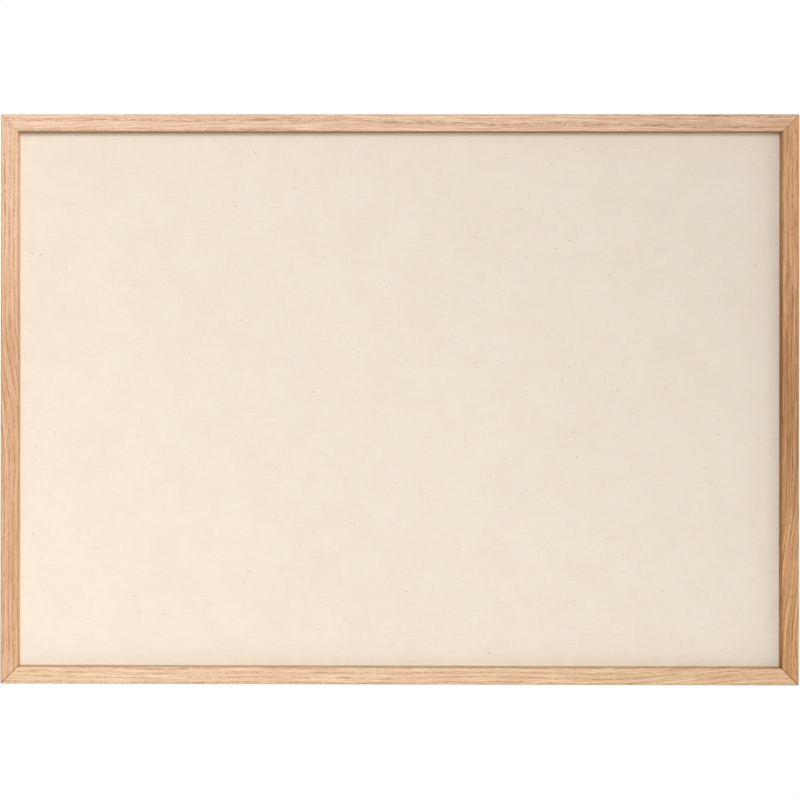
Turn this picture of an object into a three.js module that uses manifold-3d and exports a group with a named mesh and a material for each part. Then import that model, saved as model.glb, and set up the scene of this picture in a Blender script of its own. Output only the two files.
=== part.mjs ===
// Memo board: a canvas-covered pin panel in a slim mitred oak frame, hung on a wall by two sawtooth hangers.
// Millimetres. Seen from the front, X runs to the right and Z up. Y runs back, towards the wall.
// The origin lies on the wall, midway between the hangers, at the height where the hooks sit in their teeth.

import * as THREE from "three";
import { mergeVertices } from "three/addons/utils/BufferGeometryUtils.js";
import Module from "manifold-3d";

const wasm = await Module();
wasm.setup();

// Oak frame
const BOARD_WIDTH = 700;
const BOARD_HEIGHT = 500;
const FACE_WIDTH = 15; // oak seen from the front, outer edge to sight edge
const LIP_WIDTH = 5; // share of the face that laps over the panel
const LIP_DEPTH = 8; // front of the oak to the shoulder that the panel seats on
const FRONT_EASE = 1.2; // sanding of the front outer edge
const SIGHT_EASE = 0.8; // sanding of the front inner edge
const REAR_EASE = 0.6; // sanding of the edges at the back
const CORNER_EASE = 1.5; // rounding of the outer corners, seen from the front
const MITRE_GAP = 0.3; // glue line between two rails

// Panel, from the canvas at the front to the hardboard at the back
const CANVAS_THICKNESS = 0.6;
const FIELD_RISE = 0.4; // the canvas in view stands this much prouder than the strip under the lip
const FIELD_INSET = 1; // sight edge to the foot of that rise
const FIELD_SLOPE = 3; // run of that rise
const CORE_THICKNESS = 9; // softboard that takes the pins
const HEM_WIDTH = 28; // canvas turned over onto the back of the core
const BACK_THICKNESS = 3; // hardboard
const BACK_SET_IN = 0.3; // hardboard below the oak's rear face
const PANEL_CLEARANCE = 1; // panel to the walls of the rabbet, all round
const LAYER_GAP = 0.1; // between two layers that lie on each other

// Staples that hold the hem to the core
const STAPLE_CROWN = 10;
const STAPLE_LEG = 6;
const STAPLE_WIRE = 0.6;
const STAPLE_INSET = 14; // edge of the panel to the staple
const STAPLE_END_INSET = 60; // end of the panel to the first staple of a row
const STAPLES_PER_LONG_SIDE = 5;
const STAPLES_PER_SHORT_SIDE = 3;
const STAPLE_CLEARANCE = 0.1;

// Wedge nails driven into the mitres from behind
const WEDGE_LEG = 4.5;
const WEDGE_SHEET = 0.5;
const WEDGE_DEPTH = 8;
const WEDGE_CLEARANCE = 0.15;

// Turn buttons and their screws
const BUTTON_THICKNESS = 0.9;
const BUTTON_WIDTH = 8.8; // at the pivot
const BUTTON_TIP_WIDTH = 6.6;
const BUTTON_GRIP = 9; // reach of the tip over the hardboard
const BUTTON_END_INSET = 110; // end of a rail to the first button on it
const BUTTON_LIFT = 0.1; // button to the oak that it turns on
const RUNNING_CLEARANCE = 0.2; // hole of the button round its screw
const SCREW_RADIUS = 1.5;
const SCREW_LENGTH = 12; // under the head
const SCREW_TIP = 3;
const SCREW_HEAD_RADIUS = 2.9;
const SCREW_HEAD_HEIGHT = 1.5;
const SCREW_HEAD_RIM = 0.5; // straight rim below the dome of the head
const SCREW_HEAD_LIFT = 0.1; // head to the button under it
const RECESS_LENGTH = 3.2; // cross recess for the driver
const RECESS_WIDTH = 0.8;
const RECESS_DEPTH = 0.9;
const PILOT_CLEARANCE = 0.15; // pilot hole round a screw or nail
const PILOT_SPARE = 0.5; // pilot hole below its point

// Sawtooth hangers and their nails
const STANDOFF = 3; // wall to the oak's rear face
const HANGER_SPACING = 300; // between the middles of the two hangers
const HANGER_LENGTH = 46;
const HANGER_HEIGHT = 8.4;
const HANGER_SHEET = 0.9;
const HANGER_LIFT = 0.1; // tabs to the oak under them
const HANGER_TAB = 9; // flat tab at each end
const HANGER_RAMP = 3; // step from a tab up to the toothed bar
const HANGER_CORNER = 2;
const TOOTH_COUNT = 8;
const TOOTH_PITCH = 2.6;
const TOOTH_DEPTH = 1.8;
const NAIL_INSET = 4.5; // end of the hanger to its nail
const NAIL_RADIUS = 0.7;
const NAIL_LENGTH = 10; // under the head
const NAIL_TIP = 2;
const NAIL_HEAD_RADIUS = 1.8;
const NAIL_HEAD_HEIGHT = 0.8;
const NAIL_HEAD_LIFT = 0.1; // head to the tab under it

// Wall bumpers at the lower corners
const BUMPER_RADIUS = 4.2;
const BUMPER_EASE = 1;
const BUMPER_INSET = 40; // end of the bottom rail to the bumper
const BUMPER_LIFT = 0.1; // bumper to the oak under it

// Fineness of the curved faces
const EDGE_STEPS = 4;
const ARC_STEPS = 10;
const ROUND_SIDES = 20;
const DOME_STEPS = 4;

// Worked out from the sizes above. Heights along Y count from the oak's rear face, negative to the front.
const OVERCUT = 1; // how far a cutting tool stands out of the work
const WALL_WIDTH = FACE_WIDTH - LIP_WIDTH;
const HARDWARE_LINE = WALL_WIDTH / 2; // outer edge to the middle of the oak behind the rabbet
const BACK_REAR = -BACK_SET_IN;
const BACK_FRONT = BACK_REAR - BACK_THICKNESS;
const CROWN_REAR = BACK_FRONT - LAYER_GAP;
const HEM_REAR = CROWN_REAR - STAPLE_WIRE - LAYER_GAP;
const HEM_FRONT = HEM_REAR - CANVAS_THICKNESS;
const CORE_REAR = HEM_FRONT - LAYER_GAP;
const CORE_FRONT = CORE_REAR - CORE_THICKNESS;
const CANVAS_REAR = CORE_FRONT - LAYER_GAP;
const CANVAS_FRONT = CANVAS_REAR - CANVAS_THICKNESS;
const SHOULDER = CANVAS_FRONT - LAYER_GAP;
const FRAME_DEPTH = LIP_DEPTH - SHOULDER;

const RABBET_WIDTH = BOARD_WIDTH - 2 * WALL_WIDTH;
const RABBET_HEIGHT = BOARD_HEIGHT - 2 * WALL_WIDTH;
const PANEL_WIDTH = RABBET_WIDTH - 2 * PANEL_CLEARANCE;
const PANEL_HEIGHT = RABBET_HEIGHT - 2 * PANEL_CLEARANCE;
const SIGHT_WIDTH = BOARD_WIDTH - 2 * FACE_WIDTH;
const SIGHT_HEIGHT = BOARD_HEIGHT - 2 * FACE_WIDTH;
const WRAP = CANVAS_THICKNESS + LAYER_GAP; // outside of the canvas to the core

const BUTTON_REAR = BUTTON_LIFT + BUTTON_THICKNESS;
const BUTTON_REACH = WALL_WIDTH - HARDWARE_LINE + PANEL_CLEARANCE + BUTTON_GRIP;
const SCREW_SEAT = BUTTON_REAR + SCREW_HEAD_LIFT;
const NAIL_SEAT = HANGER_LIFT + HANGER_SHEET + NAIL_HEAD_LIFT;
const HOOK_LINE = BOARD_HEIGHT / 2 - HARDWARE_LINE - HANGER_HEIGHT / 2 + TOOTH_DEPTH;

const QUARTER_TURN = Math.PI / 2;

// Each side of the board is modelled as if it were the top: X along the rail, Z out from the board's middle.
// The names of what stands along it run in the direction of X.
const SIDES = [
  { name: "top", rail: "top_rail", turn: 0, places: ["left", "middle", "right"] },
  { name: "right", rail: "right_stile", turn: QUARTER_TURN, places: ["upper", "lower"] },
  { name: "bottom", rail: "bottom_rail", turn: 2 * QUARTER_TURN, places: ["right", "middle", "left"] },
  { name: "left", rail: "left_stile", turn: 3 * QUARTER_TURN, places: ["lower", "upper"] },
].map((side, index) => {
  const along = index % 2 === 0;
  return {
    ...side,
    corner: ["top_right", "bottom_right", "bottom_left", "top_left"][index],
    length: along ? BOARD_WIDTH : BOARD_HEIGHT,
    reach: (along ? BOARD_HEIGHT : BOARD_WIDTH) / 2,
    staples: along ? STAPLES_PER_LONG_SIDE : STAPLES_PER_SHORT_SIDE,
  };
});

const FINISHES = {
  oak: { color: "#d9b48c", roughness: 0.55, metalness: 0 },
  canvas: { color: "#efe2d1", roughness: 0.95, metalness: 0 },
  softboard: { color: "#b79c78", roughness: 0.95, metalness: 0 },
  hardboard: { color: "#8a6343", roughness: 0.7, metalness: 0 },
  zinc: { color: "#b9bcbf", roughness: 0.35, metalness: 1 },
  rubber: { color: "#3a3a3a", roughness: 0.8, metalness: 0 },
};

// Solids and meshes

function solidFrom(geometry) {
  const bare = geometry.clone();
  bare.deleteAttribute("normal");
  bare.deleteAttribute("uv");
  const merged = mergeVertices(bare);
  const corners = merged.index.array;
  const triangles = [];
  for (let i = 0; i < corners.length; i += 3) {
    const [a, b, c] = corners.slice(i, i + 3);
    if (a !== b && b !== c && c !== a) triangles.push(a, b, c);
  }
  return new wasm.Manifold(new wasm.Mesh({
    numProp: 3,
    vertProperties: merged.getAttribute("position").array,
    triVerts: Uint32Array.from(triangles),
  }));
}

function geometryFrom(solid) {
  const mesh = solid.getMesh();
  const geometry = new THREE.BufferGeometry();
  geometry.setAttribute("position", new THREE.BufferAttribute(mesh.vertProperties, 3));
  geometry.setIndex(new THREE.BufferAttribute(mesh.triVerts, 1));
  geometry.computeVertexNormals();
  return geometry;
}

function cut(geometry, cutters) {
  const start = solidFrom(geometry);
  return geometryFrom(cutters.reduce((rest, cutter) => rest.subtract(solidFrom(cutter)), start));
}

function common(first, second) {
  return geometryFrom(solidFrom(first).intersect(solidFrom(second)));
}

function joined(first, second) {
  return geometryFrom(solidFrom(first).add(solidFrom(second)));
}

function mesh(name, geometry, finish) {
  const piece = new THREE.Mesh(geometry, new THREE.MeshStandardMaterial(FINISHES[finish]));
  piece.name = name;
  return piece;
}

// Outlines

// A closed outline through corners of [x, y, ease], each rounded off over its ease.
function easedOutline(corners) {
  const shape = new THREE.Shape();
  corners.forEach(([x, y, ease], index) => {
    const corner = new THREE.Vector2(x, y);
    const before = new THREE.Vector2(...corners.at(index - 1));
    const after = new THREE.Vector2(...corners[(index + 1) % corners.length]);
    const start = before.sub(corner).setLength(ease).add(corner);
    const end = after.sub(corner).setLength(ease).add(corner);
    if (index === 0) shape.moveTo(start.x, start.y);
    else shape.lineTo(start.x, start.y);
    if (ease > 0) shape.quadraticCurveTo(x, y, end.x, end.y);
  });
  shape.closePath();
  return shape;
}

function rectangle(width, height, ease = 0) {
  const [x, y] = [width / 2, height / 2];
  return easedOutline([[-x, -y, ease], [x, -y, ease], [x, y, ease], [-x, y, ease]]);
}

function circle(x, y, radius) {
  return new THREE.Path().absarc(x, y, radius, 0, 2 * Math.PI);
}

// Basic forms

// A sheet whose outline lies in X and Z, between two heights along Y.
function sheet(outline, front, rear, steps = EDGE_STEPS) {
  const options = { depth: rear - front, bevelEnabled: false, curveSegments: steps };
  const geometry = new THREE.ExtrudeGeometry(outline, options);
  return geometry.rotateX(QUARTER_TURN).translate(0, rear, 0);
}

// A round hole bored from the back, down to a depth below the oak's rear face.
function bore(x, z, radius, depth) {
  const length = depth + OVERCUT;
  const geometry = new THREE.CylinderGeometry(radius, radius, length, ROUND_SIDES);
  return geometry.translate(x, OVERCUT - length / 2, z);
}

// A turned piece, from profile points of [radius, height along Y] between two points on the axis.
function turned(profile) {
  return new THREE.LatheGeometry(profile.map(([r, y]) => new THREE.Vector2(r, y)), ROUND_SIDES);
}

// The profile of a domed head, from its rim at the given radius up to the axis.
function dome(radius, foot, height) {
  return Array.from({ length: DOME_STEPS + 1 }, (_, step) => {
    const angle = (step / DOME_STEPS) * QUARTER_TURN;
    return [step === DOME_STEPS ? 0 : radius * Math.cos(angle), foot + height * Math.sin(angle)];
  });
}

function evenly(count, first, last) {
  return Array.from({ length: count }, (_, i) => THREE.MathUtils.lerp(first, last, i / (count - 1)));
}

// Where things stand on a side

function buttonPlaces(side) {
  const end = side.length / 2 - BUTTON_END_INSET;
  return evenly(side.places.length, -end, end);
}

function staplePlaces(side) {
  const end = side.length / 2 - WALL_WIDTH - PANEL_CLEARANCE - STAPLE_END_INSET;
  return evenly(side.staples, -end, end);
}

function hangerPlaces() {
  return [-HANGER_SPACING / 2, HANGER_SPACING / 2];
}

function hangerNailPlaces() {
  const nail = HANGER_LENGTH / 2 - NAIL_INSET;
  return [-nail, nail];
}

// Oak rails

// The nail's V straddles the mitre: one leg in each rail, with its middle on the middle of the oak.
function wedgeNail(grow) {
  const half = WEDGE_SHEET / 2 + grow;
  const tip = WEDGE_LEG + grow;
  const outline = new THREE.Shape([
    new THREE.Vector2(-half, -half),
    new THREE.Vector2(tip, -half),
    new THREE.Vector2(tip, half),
    new THREE.Vector2(half, half),
    new THREE.Vector2(half, tip),
    new THREE.Vector2(-half, tip),
  ]);
  const rear = grow > 0 ? OVERCUT : -WEDGE_CLEARANCE;
  return sheet(outline, -WEDGE_DEPTH - grow, rear);
}

function wedgeSetBack() {
  return HARDWARE_LINE + WEDGE_LEG / 2;
}

// An L-shaped bar whose lip laps over the panel, mitred at both ends and sanded round at its outer corners.
function rail(side) {
  const shoulder = -SHOULDER;
  const profile = easedOutline([
    [0, 0, REAR_EASE],
    [WALL_WIDTH, 0, REAR_EASE],
    [WALL_WIDTH, shoulder, 0],
    [FACE_WIDTH, shoulder, 0],
    [FACE_WIDTH, FRAME_DEPTH, SIGHT_EASE],
    [0, FRAME_DEPTH, FRONT_EASE],
  ]);
  const options = { depth: side.length, bevelEnabled: false, curveSegments: EDGE_STEPS };
  const bar = new THREE.ExtrudeGeometry(profile, options);

  const points = bar.getAttribute("position");
  for (let i = 0; i < points.count; i += 1) {
    const setBack = points.getX(i) + MITRE_GAP / Math.SQRT2;
    points.setZ(i, points.getZ(i) < side.length / 2 ? setBack : side.length - setBack);
  }
  const across = new THREE.Vector3(0, 0, -1);
  const forward = new THREE.Vector3(0, -1, 0);
  const along = new THREE.Vector3(-1, 0, 0);
  bar.applyMatrix4(new THREE.Matrix4().makeBasis(across, forward, along));
  bar.translate(side.length / 2, 0, side.reach);

  const envelope = rectangle(side.length, 2 * side.reach, CORNER_EASE);
  const sanded = common(bar, sheet(envelope, -FRAME_DEPTH - OVERCUT, OVERCUT));
  return cut(sanded, railHoles(side));
}

function railHoles(side) {
  const middle = side.reach - HARDWARE_LINE;
  const screwDepth = SCREW_LENGTH - SCREW_SEAT + PILOT_SPARE;
  const holes = buttonPlaces(side).map((x) => bore(x, middle, SCREW_RADIUS + PILOT_CLEARANCE, screwDepth));

  const corner = side.length / 2 - wedgeSetBack();
  const height = side.reach - wedgeSetBack();
  holes.push(wedgeNail(WEDGE_CLEARANCE).translate(corner, 0, height));
  holes.push(wedgeNail(WEDGE_CLEARANCE).rotateY(-QUARTER_TURN).translate(-corner, 0, height));

  if (side.name === "top") {
    const nailDepth = NAIL_LENGTH - NAIL_SEAT + PILOT_SPARE;
    for (const hanger of hangerPlaces()) {
      for (const nail of hangerNailPlaces()) {
        holes.push(bore(hanger + nail, middle, NAIL_RADIUS + PILOT_CLEARANCE, nailDepth));
      }
    }
  }
  return holes;
}

// Panel

// A bar of trapezium section, its run along the given width, rising to the front as the canvas does.
function fieldRidge(width, length) {
  const foot = width / 2 - FIELD_INSET;
  const crest = foot - FIELD_SLOPE;
  const front = CANVAS_FRONT - FIELD_RISE;
  const root = CANVAS_FRONT + CANVAS_THICKNESS / 2;
  const section = new THREE.Shape();
  section.moveTo(-crest, front);
  section.lineTo(crest, front);
  section.quadraticCurveTo(foot - FIELD_SLOPE / 2, front, foot, CANVAS_FRONT);
  section.lineTo(foot, root);
  section.lineTo(-foot, root);
  section.lineTo(-foot, CANVAS_FRONT);
  section.quadraticCurveTo(-foot + FIELD_SLOPE / 2, front, -crest, front);
  const options = { depth: length, bevelEnabled: false, curveSegments: EDGE_STEPS };
  return new THREE.ExtrudeGeometry(section, options).translate(0, 0, -length / 2);
}

// Canvas drawn over the front and edges of the core, with a hem turned over onto its back.
function canvasCover() {
  const outside = sheet(rectangle(PANEL_WIDTH, PANEL_HEIGHT), CANVAS_FRONT, HEM_REAR);
  const inner = rectangle(PANEL_WIDTH - 2 * CANVAS_THICKNESS, PANEL_HEIGHT - 2 * CANVAS_THICKNESS);
  const window = rectangle(PANEL_WIDTH - 2 * HEM_WIDTH, PANEL_HEIGHT - 2 * HEM_WIDTH);
  const tray = cut(outside, [
    sheet(inner, CANVAS_REAR, HEM_FRONT),
    sheet(window, CORE_REAR - CORE_THICKNESS / 2, HEM_REAR + OVERCUT),
  ]);
  const across = fieldRidge(SIGHT_WIDTH, SIGHT_HEIGHT);
  const upright = fieldRidge(SIGHT_HEIGHT, SIGHT_WIDTH).rotateY(QUARTER_TURN);
  return cut(joined(tray, common(across, upright)), staplePockets());
}

function softboardCore() {
  const outline = rectangle(PANEL_WIDTH - 2 * WRAP, PANEL_HEIGHT - 2 * WRAP);
  return cut(sheet(outline, CORE_FRONT, CORE_REAR), staplePockets());
}

function backPanel() {
  return sheet(rectangle(PANEL_WIDTH, PANEL_HEIGHT), BACK_FRONT, BACK_REAR);
}

// A wire staple with its crown along X and its legs to the front, grown all round to cut its own pocket.
function staple(grow) {
  const outer = STAPLE_CROWN / 2 + grow;
  const inner = STAPLE_CROWN / 2 - STAPLE_WIRE - grow;
  const crown = CROWN_REAR + grow;
  const throat = CROWN_REAR - STAPLE_WIRE - grow;
  const points = CROWN_REAR - STAPLE_LEG - grow;
  const outline = new THREE.Shape([
    new THREE.Vector2(-outer, points),
    new THREE.Vector2(-inner, points),
    new THREE.Vector2(-inner, throat),
    new THREE.Vector2(inner, throat),
    new THREE.Vector2(inner, points),
    new THREE.Vector2(outer, points),
    new THREE.Vector2(outer, crown),
    new THREE.Vector2(-outer, crown),
  ]);
  const wire = STAPLE_WIRE + 2 * grow;
  const geometry = new THREE.ExtrudeGeometry(outline, { depth: wire, bevelEnabled: false });
  return geometry.translate(0, 0, -wire / 2);
}

function stapleHeight(side) {
  return side.reach - WALL_WIDTH - PANEL_CLEARANCE - STAPLE_INSET;
}

function staplePockets() {
  return SIDES.flatMap((side) => staplePlaces(side).map((x) => (
    staple(STAPLE_CLEARANCE).translate(x, 0, stapleHeight(side)).rotateY(side.turn)
  )));
}

// Turn buttons

// A flat strip that narrows from its pivot to its tip, the two round ends joined by tangents.
function turnButton() {
  const pivot = BUTTON_WIDTH / 2;
  const tip = BUTTON_TIP_WIDTH / 2;
  const tipCentre = tip - BUTTON_REACH;
  const lean = Math.asin((pivot - tip) / -tipCentre);
  const outline = new THREE.Shape();
  outline.absarc(0, 0, pivot, -lean, Math.PI + lean);
  outline.absarc(0, tipCentre, tip, Math.PI + lean, 2 * Math.PI - lean);
  outline.closePath();
  outline.holes.push(circle(0, 0, SCREW_RADIUS + RUNNING_CLEARANCE));
  return sheet(outline, BUTTON_LIFT, BUTTON_REAR, ARC_STEPS);
}

function buttonScrew() {
  const rim = SCREW_SEAT + SCREW_HEAD_RIM;
  const body = turned([
    [0, SCREW_SEAT - SCREW_LENGTH],
    [SCREW_RADIUS, SCREW_SEAT - SCREW_LENGTH + SCREW_TIP],
    [SCREW_RADIUS, SCREW_SEAT],
    [SCREW_HEAD_RADIUS, SCREW_SEAT],
    ...dome(SCREW_HEAD_RADIUS, rim, SCREW_HEAD_HEIGHT - SCREW_HEAD_RIM),
  ]);
  const top = SCREW_SEAT + SCREW_HEAD_HEIGHT;
  const bars = [[RECESS_LENGTH, RECESS_WIDTH], [RECESS_WIDTH, RECESS_LENGTH]];
  return cut(body, bars.map(([x, z]) => sheet(rectangle(x, z), top - RECESS_DEPTH, top + OVERCUT)));
}

// Hangers

// A strip stepped up off the oak between two nailed tabs, with a row of teeth along its lower edge.
function sawtoothHanger() {
  const end = HANGER_LENGTH / 2;
  const foot = end - HANGER_TAB;
  const bar = foot - HANGER_RAMP;
  const strip = new THREE.Shape([
    new THREE.Vector2(-end, HANGER_LIFT),
    new THREE.Vector2(-foot, HANGER_LIFT),
    new THREE.Vector2(-bar, STANDOFF - HANGER_SHEET),
    new THREE.Vector2(bar, STANDOFF - HANGER_SHEET),
    new THREE.Vector2(foot, HANGER_LIFT),
    new THREE.Vector2(end, HANGER_LIFT),
    new THREE.Vector2(end, HANGER_LIFT + HANGER_SHEET),
    new THREE.Vector2(foot, HANGER_LIFT + HANGER_SHEET),
    new THREE.Vector2(bar, STANDOFF),
    new THREE.Vector2(-bar, STANDOFF),
    new THREE.Vector2(-foot, HANGER_LIFT + HANGER_SHEET),
    new THREE.Vector2(-end, HANGER_LIFT + HANGER_SHEET),
  ]);
  const height = HANGER_HEIGHT + 2 * OVERCUT;
  const folded = new THREE.ExtrudeGeometry(strip, { depth: height, bevelEnabled: false });
  folded.translate(0, 0, -height / 2);

  const edge = HANGER_HEIGHT / 2;
  const firstTooth = (-TOOTH_COUNT * TOOTH_PITCH) / 2;
  const teeth = Array.from({ length: TOOTH_COUNT }, (_, tooth) => {
    const start = firstTooth + tooth * TOOTH_PITCH;
    return [[start, -edge, 0], [start + TOOTH_PITCH / 2, TOOTH_DEPTH - edge, 0]];
  });
  const outline = easedOutline([
    [-end, -edge, HANGER_CORNER],
    ...teeth.flat(),
    [-firstTooth, -edge, 0],
    [end, -edge, HANGER_CORNER],
    [end, edge, HANGER_CORNER],
    [-end, edge, HANGER_CORNER],
  ]);
  for (const x of hangerNailPlaces()) {
    outline.holes.push(circle(x, 0, NAIL_RADIUS + PILOT_CLEARANCE));
  }
  return common(folded, sheet(outline, -OVERCUT, STANDOFF + OVERCUT, ARC_STEPS / 2));
}

function hangerNail() {
  return turned([
    [0, NAIL_SEAT - NAIL_LENGTH],
    [NAIL_RADIUS, NAIL_SEAT - NAIL_LENGTH + NAIL_TIP],
    [NAIL_RADIUS, NAIL_SEAT],
    [NAIL_HEAD_RADIUS, NAIL_SEAT],
    ...dome(NAIL_HEAD_RADIUS, NAIL_SEAT, NAIL_HEAD_HEIGHT).slice(1),
  ]);
}

// Bumpers

// A round pad with a rolled edge, as thick as the hangers stand off the oak.
function bumper() {
  const flat = BUMPER_RADIUS - BUMPER_EASE;
  const shoulder = STANDOFF - BUMPER_EASE;
  const rolled = dome(BUMPER_EASE, shoulder, BUMPER_EASE).map(([r, y]) => [flat + r, y]);
  return turned([[0, BUMPER_LIFT], [BUMPER_RADIUS, BUMPER_LIFT], ...rolled, [0, STANDOFF]]);
}

// Assembly

function placed(piece, x, z) {
  piece.position.set(x, 0, z);
  return piece;
}

function frameSide(side) {
  const group = new THREE.Group();
  group.rotation.y = side.turn;
  group.add(mesh(side.rail, rail(side), "oak"));

  const wedge = mesh(`wedge_nail_${side.corner}`, wedgeNail(0), "zinc");
  group.add(placed(wedge, side.length / 2 - wedgeSetBack(), side.reach - wedgeSetBack()));

  buttonPlaces(side).forEach((x, index) => {
    const place = `${side.name}_${side.places[index]}`;
    const middle = side.reach - HARDWARE_LINE;
    group.add(placed(mesh(`turn_button_${place}`, turnButton(), "zinc"), x, middle));
    group.add(placed(mesh(`button_screw_${place}`, buttonScrew(), "zinc"), x, middle));
  });
  staplePlaces(side).forEach((x, index) => {
    group.add(placed(mesh(`staple_${side.name}_${index + 1}`, staple(0), "zinc"), x, stapleHeight(side)));
  });
  return group;
}

function hangers() {
  const group = new THREE.Group();
  group.position.z = BOARD_HEIGHT / 2 - HARDWARE_LINE;
  hangerPlaces().forEach((x, index) => {
    const name = `hanger_${["left", "right"][index]}`;
    group.add(placed(mesh(name, sawtoothHanger(), "zinc"), x, 0));
    hangerNailPlaces().forEach((nail, end) => {
      group.add(placed(mesh(`${name}_nail_${end + 1}`, hangerNail(), "zinc"), x + nail, 0));
    });
  });
  return group;
}

function bumpers() {
  const group = new THREE.Group();
  group.position.z = HARDWARE_LINE - BOARD_HEIGHT / 2;
  const x = BOARD_WIDTH / 2 - BUMPER_INSET;
  group.add(placed(mesh("bumper_left", bumper(), "rubber"), -x, 0));
  group.add(placed(mesh("bumper_right", bumper(), "rubber"), x, 0));
  return group;
}

function panel() {
  const group = new THREE.Group();
  group.add(mesh("canvas_cover", canvasCover(), "canvas"));
  group.add(mesh("softboard_core", softboardCore(), "softboard"));
  group.add(mesh("back_panel", backPanel(), "hardboard"));
  return group;
}

const board = new THREE.Group();
board.position.set(0, -STANDOFF, -HOOK_LINE);
board.add(...SIDES.map(frameSide), panel(), hangers(), bumpers());

const memoBoard = new THREE.Group();
memoBoard.add(board);

export default memoBoard;
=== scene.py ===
"""Memo board of pale oak and unbleached canvas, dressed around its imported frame.

Metres, in the frame of the solids: X to the right seen from the front, Y back towards the wall, Z up.
The origin lies on the wall, midway between the two hangers.
"""

import functools
import logging
import math
from dataclasses import dataclass
from enum import Enum
from typing import Any, Iterable

import bmesh
import bpy
from mathutils import Matrix, Vector


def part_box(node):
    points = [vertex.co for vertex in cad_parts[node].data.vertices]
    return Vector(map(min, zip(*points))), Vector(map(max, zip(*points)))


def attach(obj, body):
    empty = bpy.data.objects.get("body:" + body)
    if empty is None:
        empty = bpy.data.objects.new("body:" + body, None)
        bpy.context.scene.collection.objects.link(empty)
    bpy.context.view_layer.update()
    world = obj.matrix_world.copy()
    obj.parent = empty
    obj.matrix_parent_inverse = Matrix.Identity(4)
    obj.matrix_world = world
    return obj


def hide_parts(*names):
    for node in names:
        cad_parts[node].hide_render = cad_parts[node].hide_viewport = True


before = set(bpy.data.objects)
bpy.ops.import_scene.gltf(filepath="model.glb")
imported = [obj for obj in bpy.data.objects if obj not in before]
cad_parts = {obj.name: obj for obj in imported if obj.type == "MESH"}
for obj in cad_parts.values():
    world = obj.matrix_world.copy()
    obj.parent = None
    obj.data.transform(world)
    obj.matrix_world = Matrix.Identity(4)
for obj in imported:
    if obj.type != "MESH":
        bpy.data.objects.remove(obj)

LOG = logging.getLogger("memo_board")
MM = 0.001
PER_MM = 1000.0
SAME_PLACE = 0.002 * MM  # points nearer than this are one
FLAT_ANGLE = 0.5  # degrees that two faces of one plane may differ by
EDGE_ANGLE = 25.0  # degrees that an edge turns before it is rounded
SMOOTH_ANGLE = 35.0  # degrees that a surface turns before an edge shows
NOISE_RANGE = (0.3, 0.7)
FRAME_BODY = "frame"
SIDES = ("left", "right")
CORNERS = ("top_right", "bottom_right", "bottom_left", "top_left")
BUTTON_PLACES = (
    "top_left", "top_middle", "top_right", "right_upper", "right_lower",
    "bottom_right", "bottom_middle", "bottom_left", "left_lower", "left_upper",
)

Colour = tuple[float, float, float]
Point = tuple[float, float, float]
Pair = tuple[float, float]
Inputs = dict[str | int, Any]
Socket = bpy.types.NodeSocket
Material = bpy.types.Material
Mesh = bpy.types.Mesh
Piece = bpy.types.Object


# Helpers for colours, nodes and meshes


def linear(red: int, green: int, blue: int) -> Colour:
    """Turn a colour as seen on a screen into the linear values that shaders take.

    Args:
        red: Red from 0 to 255.
        green: Green from 0 to 255.
        blue: Blue from 0 to 255.

    Returns:
        The linear colour.
    """
    shares = (channel / 255 for channel in (red, green, blue))
    return tuple(s / 12.92 if s <= 0.04045 else ((s + 0.055) / 1.055) ** 2.4 for s in shares)


class Wiring:
    """Adds nodes to a tree and links them."""

    def __init__(self, tree: bpy.types.NodeTree) -> None:
        """Keep the tree that the nodes go into."""
        self.tree = tree

    def add(self, kind: str, inputs: Inputs | None = None, **settings: Any) -> bpy.types.Node:
        """Add one node.

        Args:
            kind: Blender's name for the type of node.
            inputs: What goes into its sockets, by name or number: another node's output, or a value.
            settings: Properties of the node itself.

        Returns:
            The new node.
        """
        node = self.tree.nodes.new(kind)
        for name, value in settings.items():
            setattr(node, name, value)
        for key, value in (inputs or {}).items():
            self.feed(node.inputs[key], value)
        return node

    def feed(self, socket: Socket, value: Any) -> None:
        """Link an output to a socket, or set the socket's own value.

        Args:
            socket: The socket to fill.
            value: Another node's output, or a plain value.
        """
        if isinstance(value, Socket):
            self.tree.links.new(value, socket)
        else:
            socket.default_value = value

    def out(self, kind: str, inputs: Inputs | None = None, **settings: Any) -> Socket:
        """Add one node and return its first output."""
        return self.add(kind, inputs, **settings).outputs[0]

    def math(self, operation: str, *terms: Any) -> Socket:
        """Return the result of one sum on numbers."""
        return self.out("ShaderNodeMath", dict(enumerate(terms)), operation=operation)

    def largest(self, first: Any, *others: Any) -> Socket:
        """Return the largest of some numbers."""
        return functools.reduce(functools.partial(self.math, "MAXIMUM"), others, first)

    def vector(self, operation: str, *terms: Any) -> Socket:
        """Return the result of one sum on points."""
        return self.out("ShaderNodeVectorMath", dict(enumerate(terms)), operation=operation)

    def point(self, x: Any = 0.0, y: Any = 0.0, z: Any = 0.0) -> Socket:
        """Join three numbers into a point."""
        return self.out("ShaderNodeCombineXYZ", {0: x, 1: y, 2: z})

    def parts(self, place: Socket) -> tuple[Socket, ...]:
        """Split a point into its X, Y and Z."""
        return tuple(self.add("ShaderNodeSeparateXYZ", {0: place}).outputs)


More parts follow.
